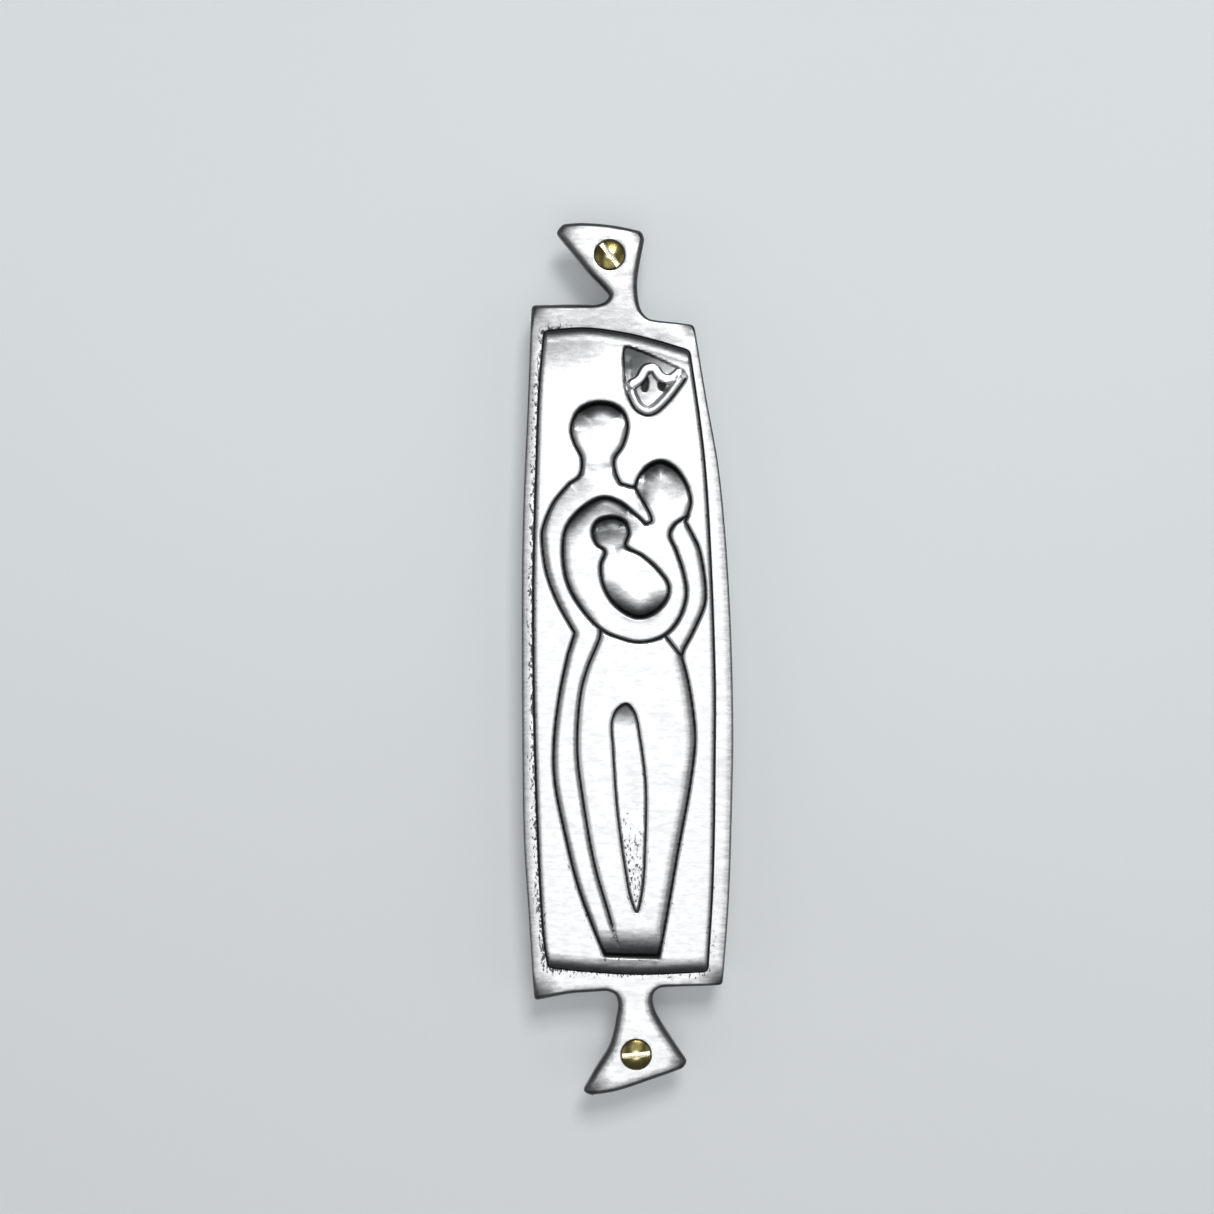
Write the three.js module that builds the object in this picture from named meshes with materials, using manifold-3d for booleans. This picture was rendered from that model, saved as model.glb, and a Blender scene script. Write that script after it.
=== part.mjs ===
import * as THREE from 'three';
import { mergeVertices } from 'three/addons/utils/BufferGeometryUtils.js';
import Module from 'manifold-3d';

// A mezuzah case: a hollow aluminium casting with a family in relief, closed behind by a sheet
// plate, with the parchment scroll in a clear sleeve inside, and a brass screw through each tab.
// Millimetres. +Z runs up the doorpost, -Y faces the room, and the doorpost's face is Y = 0.
// A depth is a distance forward from that face, so depth d lies at Y = -d.

const wasm = await Module();
wasm.setup();

// The body.
const bodyWidth = 40;
const bodyHeight = 131.5;
const bodyEdgeRound = 0.8;
const bodyCorner = 1.4;

// The scroll and what it needs around it. These set how deep the case is.
const scrollLength = 100;
const scrollRadius = 3.4;
const scrollBore = 1.3;
const sheetThickness = 0.25;
const sheetGap = 0.15;
const sleeveWall = 0.25;
const sleeveOverhang = 1;
const fitGap = 0.3;
const channelSlack = 0.6;

// The plate that closes the back.
const plateThickness = 1.2;
const plateSeatGap = 0.1;
const plateLedge = 4;
const plateCorner = 2;

// The raised panel and the relief on it.
const panelWall = 2.2;
const panelRise = 1.6;
const panelGrooveWidth = 0.6;
const panelGrooveDepth = 0.5;
const panelEdgeRound = 0.4;
const figureRise = 0.6;
const figureEdgeRound = 0.3;
const creaseWidth = 0.9;
const creaseDepth = 0.8;
const shieldLip = 1.2;
const shieldRise = 0.7;
const shieldScoop = 0.7;
const waveWidth = 1.1;

// The tabs that take the screws.
const tabThickness = 3.4;
const tabReach = 15.6;
const tabSpan = 16.7;
const tabEdgeRound = 0.4;
const tabCorner = 1.1;

// The screws: No. 4 raised countersunk wood screws with slotted heads.
const screwLength = 20;
const headRadius = 2.8;
const headDome = 0.6;
const headRim = 0.25;
const shankRadius = 1.4;
const coreRadius = 1;
const shankLength = 6;
const tipLength = 3;
const threadRunout = 0.3;
const threadPitch = 1.1;
const slotWidth = 0.95;
const slotDepth = 1;
const topSlotAngle = -52;
const bottomSlotAngle = 5.5;

// What follows from the sizes above.
const sleeveRadius = scrollRadius + fitGap + sleeveWall;
const plateSeat = plateThickness + plateSeatGap;
const channelDepth = plateSeat + 2 * (sleeveRadius + fitGap);
const scrollDepth = plateSeat + fitGap + sleeveRadius;
const channelWidth = 2 * (sleeveRadius + channelSlack);
const sleeveLength = scrollLength + 2 * sleeveOverhang;
const channelLength = sleeveLength + 2 * channelSlack;
const panelDepth = channelDepth + panelWall;
const borderDepth = panelDepth - panelRise;
const figureDepth = panelDepth + figureRise;
const shieldDepth = panelDepth + shieldRise;

// Outlines are lists of points seen from the front, x across and z up. The body's outline and its
// relief are drawn on a field 40 wide and 131.5 high, which stretches to the body's real size.
const drawnBody = { width: 40, height: 131.5 };
const onBody = ([x, z]) => [x * bodyWidth / drawnBody.width, z * bodyHeight / drawnBody.height];
const bodySide = (points) => points.map(onBody);

const stepsPerSpan = 3;
const shortestStep = 0.3;
const roundSteps = 28;
const overlap = 1;
const sharpTurn = THREE.MathUtils.degToRad(25);

function toPoint([x, z]) {
  return new THREE.Vector2(x, z);
}

// A smooth line through the points.
function through(points, closed = false) {
  const spots = points.map(([x, z]) => new THREE.Vector3(x, z, 0));
  const curve = new THREE.CatmullRomCurve3(spots, closed, 'centripetal');
  const spans = closed ? spots.length : spots.length - 1;
  const line = curve.getPoints(spans * stepsPerSpan).map(({ x, y }) => new THREE.Vector2(x, y));
  return closed ? line.slice(0, -1) : line;
}

// One outline from its sides in turn. A side of one or two points is straight.
function joined(sides) {
  return sides.flatMap((side) => (side.length > 2 ? through(side) : side.map(toPoint)));
}

// The closed outline with each sharp corner turned into a small curve.
function roundCorners(outline, radius) {
  return outline.flatMap((corner, i) => {
    const arriving = corner.clone().sub(outline.at(i - 1));
    const leaving = outline[(i + 1) % outline.length].clone().sub(corner);
    if (arriving.angleTo(leaving) < sharpTurn) return [corner];
    const start = corner.clone().sub(arriving.setLength(Math.min(radius, arriving.length() / 2)));
    const end = corner.clone().add(leaving.setLength(Math.min(radius, leaving.length() / 2)));
    return new THREE.QuadraticBezierCurve(start, corner, end).getPoints(3);
  });
}

// The closed outline without points that crowd the one kept before them.
function spaced(outline) {
  const kept = [];
  for (const spot of outline) {
    const crowded = [kept.at(-1), kept[0]].some((other) => other && other.distanceTo(spot) < shortestStep);
    if (!crowded) kept.push(spot);
  }
  return kept;
}

// Each point moved sideways, to the right of the line's direction, by the distance.
function shiftedLine(line, distance, closed = false) {
  const last = line.length - 1;
  return line.map((spot, i) => {
    const before = closed || i > 0 ? line.at(i - 1) : spot;
    const after = closed || i < last ? line[(i + 1) % line.length] : spot;
    const along = after.clone().sub(before).normalize();
    return new THREE.Vector2(spot.x + along.y * distance, spot.y - along.x * distance);
  });
}

// A counter-clockwise closed outline grown outward, or shrunk where the distance is negative.
function grown(outline, distance) {
  const turned = THREE.ShapeUtils.isClockWise(outline) ? [...outline].reverse() : outline;
  return shiftedLine(turned, distance, true);
}

// The outline of a strip that follows an open line.
function strip(line, width) {
  return [...shiftedLine(line, width / 2), ...shiftedLine(line, -width / 2).reverse()];
}

function rectangle(width, height, corner) {
  const corners = [[-1, -1], [1, -1], [1, 1], [-1, 1]].map(([x, z]) => [x * width / 2, z * height / 2]);
  return roundCorners(corners.map(toPoint), corner);
}

// Geometry to a solid that can be joined and cut, and back again.
function toSolid(geometry) {
  const plain = geometry.index ? geometry.toNonIndexed() : geometry.clone();
  plain.deleteAttribute('normal');
  plain.deleteAttribute('uv');
  const merged = mergeVertices(plain, 1e-4);
  return new wasm.Manifold(new wasm.Mesh({
    numProp: 3,
    vertProperties: new Float32Array(merged.attributes.position.array),
    triVerts: new Uint32Array(merged.index.array),
  }));
}

function toGeometry(solid) {
  const mesh = solid.getMesh();
  const geometry = new THREE.BufferGeometry();
  geometry.setAttribute('position', new THREE.BufferAttribute(mesh.vertProperties, 3));
  geometry.setIndex(new THREE.BufferAttribute(mesh.triVerts, 1));
  const faceted = geometry.toNonIndexed();
  faceted.computeVertexNormals();
  return faceted;
}

// A plate with this outline between two depths, with rounded edges if asked.
function slab(outline, backDepth, frontDepth, edgeRound = 0) {
  const geometry = new THREE.ExtrudeGeometry(new THREE.Shape(spaced(outline)), {
    depth: frontDepth - backDepth - 2 * edgeRound,
    bevelEnabled: edgeRound > 0,
    bevelThickness: edgeRound,
    bevelSize: edgeRound,
    bevelOffset: -edgeRound,
    bevelSegments: 2,
  });
  geometry.translate(0, 0, backDepth + edgeRound);
  geometry.rotateX(Math.PI / 2);
  return toSolid(geometry);
}

// A body of revolution about the depth direction, centred on a point of the front view.
function turned(profile, [x, z]) {
  const line = profile.map(([radius, depth]) => new THREE.Vector2(radius, -depth));
  const geometry = new THREE.LatheGeometry(line, roundSteps);
  geometry.translate(x, 0, z);
  return toSolid(geometry);
}

// The body's outline: two bowed sides, and ends that lean down to the right.
const bodyOutline = roundCorners(joined([
  [[-17.4, -65.9], [-18.6, -50.1], [-19.6, -35.2], [-20, -9.1], [-20, 17.4], [-19.6, 28.9],
    [-18.9, 47.6], [-17.9, 65.6]],
  [[-5.3, 65.75], [3.8, 62.9]],
  [[12.3, 61.8], [15, 47.6], [17.2, 35.2], [18.7, 20], [19.7, 0.6], [20, -16.6], [19.8, -27.8],
    [19.2, -46.5], [17.6, -62.8]],
  [[-3.9, -64.2], [-11.1, -64.8]],
].map(bodySide)), bodyCorner);

// Each tab is drawn from its root on the body, 16.7 across its flared end and 15.6 long, and
// stretches to its real span and reach. Its screw stands at a fixed spot in the flared end.
const drawnTab = { span: 16.7, reach: 15.6 };
const topTab = {
  root: onBody([0, 65.75]),
  sides: [
    [[-7.5, -5], [-7.5, -0.4]],
    [[-5.6, 0.1], [-4, 0.8], [-3.5, 1.9], [-4.6, 3.2], [-7.2, 5.9], [-11.7, 11.5], [-13.5, 13.9]],
    [[-12.4, 15.2], [-8.5, 15.6], [-3, 15.1], [2.8, 13.8]],
    [[3.1, 12.6], [2, 7.4], [1.9, 3], [2.4, -0.6], [3.8, -2.4]],
    [[6, -3.2], [6, -7]],
  ],
  screw: [-3.4, 9.35],
};
const bottomTab = {
  root: onBody([0, -64.2]),
  sides: [
    [[7.5, 5], [7.5, 0.9]],
    [[5.7, 0.1], [4.8, -0.8], [4.7, -2], [6.1, -5.5], [9.1, -10.4], [11.2, -13.8]],
    [[10.7, -14.5], [4.8, -16.7], [-1.8, -18.9], [-7.2, -20.2]],
    [[-8.2, -19.2], [-6, -14.9], [-3.4, -10.4], [-2, -5.1], [-1.8, -1.6]],
    [[-2.6, -0.5], [-5, 0.2], [-5, 5]],
  ],
  screw: [1.6, -11.9],
};

function onTab(tab, [x, z]) {
  return [tab.root[0] + x * tabSpan / drawnTab.span, tab.root[1] + z * tabReach / drawnTab.reach];
}

function tabOutline(tab) {
  return roundCorners(joined(tab.sides.map((side) => side.map((spot) => onTab(tab, spot)))), tabCorner);
}

// The raised panel.
const panelOutline = joined([
  [[-14.8, -59], [-15.7, -53.9], [-17.2, -24], [-17.7, 10.6], [-17.1, 35.2], [-16.5, 50.8], [-15.6, 60.3]],
  [[-15.3, 60.6], [-8.2, 61], [-0.3, 60], [5.9, 58.5], [11.4, 56.9]],
  [[11.7, 56.5], [13.3, 44.6], [14.4, 35.2], [15.5, 17.4], [16.4, -9.1], [15.9, -42.7], [14.9, -59.8]],
  [[14.4, -60.5], [2.1, -60.7], [-7.3, -60.1]],
].map(bodySide));

// The family's outline: the man's head, the woman's, his arm round her, her leg, the feet, his leg
// and his shoulder.
const familyOutline = joined([
  [[-11, 31.8], [-8.8, 33.6], [-8.8, 36.8], [-10.7, 42.1], [-9.2, 45.6], [-5, 47.1], [-1.3, 45.7], [0, 42.7],
    [-0.9, 38.9], [-2.5, 36.3], [-2.2, 33.6]],
  [[-1.3, 31.8], [1, 31.1]],
  [[1.3, 31.1], [2.2, 33.3], [4.1, 35.5], [6.3, 36.1], [8.7, 34.9], [11, 31.8], [11.9, 28.4], [11.3, 25.7]],
  [[10.9, 24.6], [13.5, 19.3], [14.7, 11.8], [14.5, 9], [12.4, 4], [10.7, 1.3]],
  [[10.1, -0.9], [11.3, -5.1], [12.7, -16.5], [11.8, -24.8], [9.5, -37.4], [7.6, -48.4], [6, -57.2]],
  [[5.8, -57.5], [-4.2, -57.2]],
  [[-5.4, -54.6], [-9.2, -44.6], [-11.8, -34.4], [-13.8, -24], [-13.9, -16.6], [-12.8, -7.6], [-11.3, -0.4]],
  [[-10, 3.8], [-13.2, 9.3], [-15.4, 15.3], [-16.1, 21.9], [-14.1, 28]],
].map(bodySide));

// Creases cut into the family: her shoulders and arms, the line from his neck, her skirt's left
// side and its right.
const creases = [
  [[3.4, 24], [1, 26.3], [-1.6, 28.4], [-4.7, 29.1], [-8.5, 27.2], [-11.6, 23.4], [-12.2, 18.4],
    [-11.3, 13], [-8.8, 8.4], [-5, 4.3], [-1.6, 2.7], [2.2, 1.9], [6.6, 3], [9.4, 5.9], [11, 10.6],
    [10.6, 14.4], [9.1, 19.1], [7.9, 22.2], [8.7, 23.8], [11.3, 25.7]],
  [[1.5, 31.2], [4.3, 24.7]],
  [[-5.1, 3.8], [-7.5, -2.8], [-8.8, -7.6], [-9.5, -18.3], [-8.4, -27.8], [-6.2, -40.1],
    [-3.5, -49.4], [-1.8, -55.4]],
  [[7.2, 3], [10.4, -1.3]],
].map(bodySide).map((points) => through(points));

const babyOutline = through(bodySide([[-6.6, 22.9], [-2.8, 25.5], [0.2, 22.5], [-0.3, 20], [2.8, 18.1],
  [5.9, 15.3], [7.7, 12.5], [7.2, 10], [4.7, 7.2], [1.6, 6.5], [-2.2, 8.7], [-4.4, 12.1],
  [-5.1, 16.3], [-4.4, 19], [-5.7, 20.3]]), true);
const legGapOutline = through(bodySide([[-0.2, -9.6], [-2.9, -12.5], [-2.8, -18.3], [-2, -29.7],
  [-0.5, -40.8], [1.7, -48.9], [2.9, -44.6], [3.4, -33.3], [3.4, -24.8], [2.4, -16.5],
  [1.3, -11.3]]), true);

// The shield in the panel's top right corner, with a plain wave in its scoop.
const shieldOutline = through(bodySide([[-0.6, 57.4], [-0.8, 53.5], [-0.3, 49.6], [1.7, 45.5],
  [3.6, 44.6], [5.2, 45], [7.4, 46.9], [9.5, 49.5], [10.9, 52], [10.4, 53.6], [5.1, 56.2],
  [1, 57.8]]), true);
const wave = through(bodySide([[1.4, 51.8], [3.3, 54.2], [5.1, 51.8], [7, 50.2], [8.7, 52]]));

// The countersunk hole in a tab, from the room side to the back. The cone is at 45 degrees.
const coneHeight = headRadius - shankRadius;
const headEdgeDepth = borderDepth - headRim;
const screwHole = [
  [0, borderDepth + overlap],
  [headRadius + fitGap, borderDepth + overlap],
  [headRadius + fitGap, headEdgeDepth],
  [shankRadius + fitGap, headEdgeDepth - coneHeight],
  [shankRadius + fitGap, borderDepth - tabThickness - overlap],
  [0, borderDepth - tabThickness - overlap],
];

function caseCasting() {
  const creaseFloor = figureDepth - creaseDepth;
  const clearFront = shieldDepth + overlap;
  const buried = borderDepth - overlap;
  let casting = slab(bodyOutline, -bodyEdgeRound, borderDepth, bodyEdgeRound);
  for (const tab of [topTab, bottomTab]) {
    casting = casting.add(slab(tabOutline(tab), borderDepth - tabThickness, borderDepth, tabEdgeRound));
    casting = casting.subtract(turned(screwHole, onTab(tab, tab.screw)));
  }

  const grooveFloor = borderDepth - panelGrooveDepth;
  casting = casting.subtract(slab(grown(panelOutline, panelGrooveWidth), grooveFloor, clearFront));
  casting = casting.add(slab(panelOutline, buried, panelDepth, panelEdgeRound));
  casting = casting.add(slab(familyOutline, buried, figureDepth, figureEdgeRound));
  for (const line of creases) {
    casting = casting.subtract(slab(strip(line, creaseWidth), creaseFloor, clearFront));
  }
  const aroundBaby = slab(grown(babyOutline, creaseWidth / 2), creaseFloor, clearFront);
  const baby = slab(grown(babyOutline, -creaseWidth / 2), creaseFloor - overlap, clearFront + overlap);
  casting = casting.subtract(aroundBaby.subtract(baby));
  casting = casting.subtract(slab(legGapOutline, creaseFloor, clearFront));

  casting = casting.add(slab(shieldOutline, buried, shieldDepth, figureEdgeRound));
  casting = casting.subtract(slab(grown(shieldOutline, -shieldLip), panelDepth - shieldScoop, clearFront));
  casting = casting.add(slab(strip(wave, waveWidth), buried, panelDepth));

  const recess = slab(plateOutline(fitGap), -overlap, plateSeat);
  const channel = slab(rectangle(channelWidth, channelLength, channelSlack), -overlap, channelDepth);
  const behind = slab(rectangle(2 * bodyWidth, 2 * bodyHeight, bodyCorner), -2 * bodyEdgeRound, 0);
  return toGeometry(casting.subtract(recess).subtract(channel).subtract(behind));
}

// The plate's outline, or that of its recess in the casting where a gap is added all round.
function plateOutline(gap) {
  const width = channelWidth + 2 * plateLedge;
  const height = channelLength + 2 * plateLedge;
  return rectangle(width + 2 * gap, height + 2 * gap, plateCorner + gap);
}

function backPlate() {
  return toGeometry(slab(plateOutline(0), 0, plateThickness));
}

// The parchment, rolled up from its inner end.
function scrollParchment() {
  const pitch = sheetThickness + sheetGap;
  const turns = (scrollRadius - sheetThickness - scrollBore) / pitch;
  const stepsPerTurn = 20;
  const steps = Math.round(turns * stepsPerTurn);
  const inner = [];
  const outer = [];
  for (let i = 0; i <= steps; i += 1) {
    const angle = turns * 2 * Math.PI * i / steps;
    const radius = scrollBore + pitch * turns * i / steps;
    const spot = new THREE.Vector2(Math.cos(angle), Math.sin(angle));
    inner.push(spot.clone().multiplyScalar(radius));
    outer.push(spot.clone().multiplyScalar(radius + sheetThickness));
  }
  const shape = new THREE.Shape([...outer, ...inner.reverse()]);
  const geometry = new THREE.ExtrudeGeometry(shape, { depth: scrollLength, bevelEnabled: false });
  geometry.translate(0, -scrollDepth, -scrollLength / 2);
  return geometry;
}

// The clear tube that keeps damp off the parchment, open at both ends.
function scrollSleeve() {
  const halfLength = sleeveLength / 2;
  const innerRadius = sleeveRadius - sleeveWall;
  const profile = [[innerRadius, -halfLength], [sleeveRadius, -halfLength], [sleeveRadius, halfLength],
    [innerRadius, halfLength], [innerRadius, -halfLength]];
  const geometry = new THREE.LatheGeometry(profile.map(toPoint), roundSteps);
  geometry.rotateX(Math.PI / 2);
  geometry.translate(0, -scrollDepth, 0);
  return geometry;
}

// A screw from its tip to its domed head, with the thread as rings and the slot cut across.
function screw(place, slotAngle) {
  const tipDepth = borderDepth - screwLength;
  const threadEnd = headEdgeDepth - coneHeight - shankLength;
  const profile = [[0, tipDepth]];
  for (let depth = tipDepth + tipLength; depth + threadPitch < threadEnd; depth += threadPitch) {
    profile.push([coreRadius, depth], [shankRadius, depth + threadPitch / 2]);
  }
  profile.push([coreRadius, threadEnd - threadRunout], [shankRadius, threadEnd]);
  profile.push([shankRadius, headEdgeDepth - coneHeight], [headRadius, headEdgeDepth]);
  for (const share of [0, 0.35, 0.7]) {
    const swing = share * Math.PI / 2;
    profile.push([headRadius * Math.cos(swing), borderDepth + headDome * Math.sin(swing)]);
  }
  profile.push([0, borderDepth + headDome]);

  const slot = new THREE.BoxGeometry(3 * headRadius, 2 * slotDepth, slotWidth);
  slot.rotateY(THREE.MathUtils.degToRad(-slotAngle));
  slot.translate(place[0], -(borderDepth + headDome), place[1]);
  return toGeometry(turned(profile.reverse(), place).subtract(toSolid(slot)));
}

const aluminium = new THREE.MeshStandardMaterial({ color: 0xc9cccf, roughness: 0.38, metalness: 1 });
const sheetAluminium = new THREE.MeshStandardMaterial({ color: 0xb9bdc1, roughness: 0.45, metalness: 1 });
const brass = new THREE.MeshStandardMaterial({ color: 0xb59a45, roughness: 0.3, metalness: 1 });
const parchment = new THREE.MeshStandardMaterial({ color: 0xe9dfc4, roughness: 0.85, metalness: 0 });
const clearPlastic = new THREE.MeshStandardMaterial({
  color: 0xe8eff2, roughness: 0.1, metalness: 0, opacity: 0.3, transparent: true,
});

function named(name, geometry, material) {
  const mesh = new THREE.Mesh(geometry, material);
  mesh.name = name;
  return mesh;
}

const mezuzahCase = new THREE.Group();
mezuzahCase.add(
  named('case_casting', caseCasting(), aluminium),
  named('back_plate', backPlate(), sheetAluminium),
  named('scroll_sleeve', scrollSleeve(), clearPlastic),
  named('scroll_parchment', scrollParchment(), parchment),
  named('top_screw', screw(onTab(topTab, topTab.screw), topSlotAngle), brass),
  named('bottom_screw', screw(onTab(bottomTab, bottomTab.screw), bottomSlotAngle), brass),
);

export default mezuzahCase;
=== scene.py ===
import math
import bpy
import bmesh
import numpy as np
from mathutils import Matrix, Vector, noise


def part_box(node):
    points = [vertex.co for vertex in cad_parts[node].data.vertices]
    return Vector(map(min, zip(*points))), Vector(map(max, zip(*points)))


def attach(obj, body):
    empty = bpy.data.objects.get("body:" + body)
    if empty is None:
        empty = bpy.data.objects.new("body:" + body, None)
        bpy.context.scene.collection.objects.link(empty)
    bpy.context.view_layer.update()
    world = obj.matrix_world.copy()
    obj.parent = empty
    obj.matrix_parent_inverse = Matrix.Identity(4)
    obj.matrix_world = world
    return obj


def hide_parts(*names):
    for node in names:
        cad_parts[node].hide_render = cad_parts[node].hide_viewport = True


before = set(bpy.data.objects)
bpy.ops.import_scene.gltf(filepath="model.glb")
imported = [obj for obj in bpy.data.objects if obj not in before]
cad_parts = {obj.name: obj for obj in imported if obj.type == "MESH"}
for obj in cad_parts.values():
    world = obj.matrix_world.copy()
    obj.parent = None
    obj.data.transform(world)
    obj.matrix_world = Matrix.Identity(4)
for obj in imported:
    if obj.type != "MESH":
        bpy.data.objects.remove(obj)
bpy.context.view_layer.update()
mm = 0.001  # outlines are in millimetres as seen from the front, x across and z up; depth is toward the front

castLow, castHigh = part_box("case_casting")
plateLow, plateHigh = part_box("back_plate")
scrollDepth = 5.55
tabFront = 10.4  # depth of the border's and the tabs' front face

cameraSet = {"middle": (-3.9, 8.5), "distance": 340, "width": 229.4, "sensor": 36}


def makeCamera(c):
    data = bpy.data.cameras.new("viewCamera")
    data.sensor_width = c["sensor"]
    data.lens = c["sensor"] * c["distance"] / c["width"]
    data.clip_start = 0.01
    data.clip_end = 20
    cam = bpy.data.objects.new("viewCamera", data)
    bpy.context.scene.collection.objects.link(cam)
    x, z = c["middle"]
    cam.location = (x * mm, -(tabFront + c["distance"]) * mm, z * mm)
    cam.rotation_euler = (math.radians(90), 0, 0)
    bpy.context.scene.camera = cam


makeCamera(cameraSet)
print("camera set")


def smoothLine(points, closed=False, step=0.35):
    pts = np.array(points, float)
    n = len(pts)
    if n < 3:
        return pts
    if closed:
        ring = np.vstack([pts[-1], pts, pts[0], pts[1]])
    else:
        ring = np.vstack([2 * pts[0] - pts[1], pts, 2 * pts[-1] - pts[-2]])
    gap = np.sqrt(np.linalg.norm(np.diff(ring, axis=0), axis=1))
    out = []
    for i in range(1, len(ring) - 2):
        p0, p1, p2, p3 = ring[i - 1:i + 3]
        t01, t12, t23 = gap[i - 1:i + 2]
        m1 = (p2 - p1) + t12 * ((p1 - p0) / t01 - (p2 - p0) / (t01 + t12))
        m2 = (p2 - p1) + t12 * ((p3 - p2) / t23 - (p3 - p1) / (t12 + t23))
        count = max(1, int(round(np.linalg.norm(p2 - p1) / step)))
        t = (np.arange(count) / count)[:, None]
        h = 2 * t ** 3 - 3 * t ** 2
        out.append(p1 * (1 + h) - p2 * h + m1 * (t ** 3 - 2 * t ** 2 + t) + m2 * (t ** 3 - t ** 2))
    if not closed:
        out.append(pts[-1:])
    return np.vstack(out)


def trimEnds(line, length):
    run = np.concatenate([[0], np.cumsum(np.linalg.norm(np.diff(line, axis=0), axis=1))])
    cut = min(length, 0.45 * run[-1])
    spots = np.concatenate([[cut], run[(run > cut + 0.05) & (run < run[-1] - cut - 0.05)], [run[-1] - cut]])
    return np.stack([np.interp(spots, run, line[:, 0]), np.interp(spots, run, line[:, 1])], axis=1)


# joins the sides of an outline, each corner rounded over this length of its two sides
def joinSides(sides, corner=0.0, steps=6):
    lines = [smoothLine(side) for side in sides]
    if not corner:
        return np.vstack(lines)
    cut = [trimEnds(line, corner) for line in lines]
    out = []
    for i, line in enumerate(cut):
        following = (i + 1) % len(cut)
        start, end = line[-1], cut[following][0]
        pull = start + (lines[i][-1] - start) * 0.7
        push = end + (lines[following][0] - end) * 0.7
        out.append(line)
        for k in range(1, steps):
            t = k / steps
            s = 1 - t
            out.append([start * s ** 3 + 3 * pull * s * s * t + 3 * push * s * t * t + end * t ** 3])
    return np.vstack(out)


# distance from each point to a line, and the unit direction from the line to the point
def nearest(points, line, closed=False):
    ends = np.roll(line, -1, axis=0) if closed else line[1:]
    starts = line if closed else line[:-1]
    best = np.full(len(points), 1e9)
    away = np.zeros_like(points)
    side = np.zeros(len(points))
    for a, b in zip(starts, ends):
        ab = b - a
        size = ab @ ab
        if size < 1e-12:
            continue
        rel = points - a
        t = np.clip(rel @ ab / size, 0, 1)
        off = rel - t[:, None] * ab
        d = np.einsum("ij,ij->i", off, off)
        closer = d < best
        best[closer] = d[closer]
        away[closer] = off[closer]
        side[closer] = np.sign(ab[0] * rel[closer, 1] - ab[1] * rel[closer, 0])
    dist = np.sqrt(best)
    return dist, away / np.maximum(dist, 1e-6)[:, None], side


def insideOf(points, outline):
    inside = np.zeros(len(points), bool)
    x, z = points[:, 0], points[:, 1]
    for a, b in zip(outline, np.roll(outline, -1, axis=0)):
        if a[1] == b[1]:
            continue
        crosses = (a[1] > z) != (b[1] > z)
        edgeX = a[0] + (z - a[1]) * (b[0] - a[0]) / (b[1] - a[1])
        inside ^= crosses & (x < edgeX)
    return inside


def smoothStep(low, high, value):
    t = np.clip((value - low) / (high - low), 0, 1)
    return t * t * (3 - 2 * t)


# soft noise over the front, about -1 to 1
def noiseAt(points, size, seed=0.0):
    return np.array([noise.noise(Vector((x / size, z / size, seed))) for x, z in points]) * 1.6


def meshObject(name, bm, body):
    mesh = bpy.data.meshes.new(name)
    bm.to_mesh(mesh)
    bm.free()
    obj = bpy.data.objects.new(name, mesh)
    bpy.context.scene.collection.objects.link(obj)
    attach(obj, body)
    return obj


def grownOutline(outline, distance):
    before, after = np.roll(outline, 1, axis=0), np.roll(outline, -1, axis=0)
    along = after - before
    along /= np.linalg.norm(along, axis=1)[:, None]
    area = np.sum(outline[:, 0] * after[:, 1] - after[:, 0] * outline[:, 1])
    turn = 1 if area > 0 else -1
    return outline + turn * np.stack([along[:, 1], -along[:, 0]], axis=1) * np.reshape(distance, (-1, 1))


# how far each point of an outline can move in before it meets the other side, up to most
def insetReach(outline, most):
    inward = grownOutline(outline, -1) - outline
    reach = np.full(len(outline), 0.05)
    clear = np.ones(len(outline), bool)
    for size in np.linspace(0.1, most, 14):
        dist, _, _ = nearest(outline + inward * size, outline, True)
        clear &= dist > 0.97 * size
        reach[clear] = size
    return reach * 0.85


# a closed plate grown layer by layer: each layer is how far in from the outline it lies, and its depth
def plateMesh(outline, layers):
    bm = bmesh.new()
    most = max(size for size, _ in layers)
    reach = insetReach(outline, most / 0.85) if most else np.zeros(len(outline))
    share = [size / most if most else 0 for size, _ in layers]
    start = grownOutline(outline, -share[0] * reach)
    verts = [bm.verts.new((x * mm, -layers[0][1] * mm, z * mm)) for x, z in start]
    face = bm.faces.new(verts)
    number = {tuple(v.co): i for i, v in enumerate(verts)}
    for k in range(1, len(layers)):
        ring = grownOutline(outline, -share[k] * reach)
        grown = bmesh.ops.extrude_face_region(bm, geom=[face])["geom"]
        if k > 1 and face.is_valid:
            bmesh.ops.delete(bm, geom=[face], context="FACES_ONLY")
        face = next(g for g in grown if isinstance(g, bmesh.types.BMFace))
        moved = [(v, number[tuple(v.co)]) for v in face.verts]
        for v, i in moved:
            v.co = (ring[i][0] * mm, -layers[k][1] * mm, ring[i][1] * mm)
        number = {tuple(v.co): i for v, i in moved}
    bmesh.ops.recalc_face_normals(bm, faces=bm.faces)
    return bm


def roundedEdge(depth, size, toward, steps=3):
    layers = []
    for k in range(steps + 1):
        swing = math.pi / 2 * k / steps
        layers.append((size * (1 - math.sin(swing)), depth + toward * size * (1 - math.cos(swing))))
    return layers


def scratchObject(bm):
    mesh = bpy.data.meshes.new("scratch")
    bm.to_mesh(mesh)
    bm.free()
    obj = bpy.data.objects.new("scratch", mesh)
    bpy.context.scene.collection.objects.link(obj)
    return obj


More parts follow.
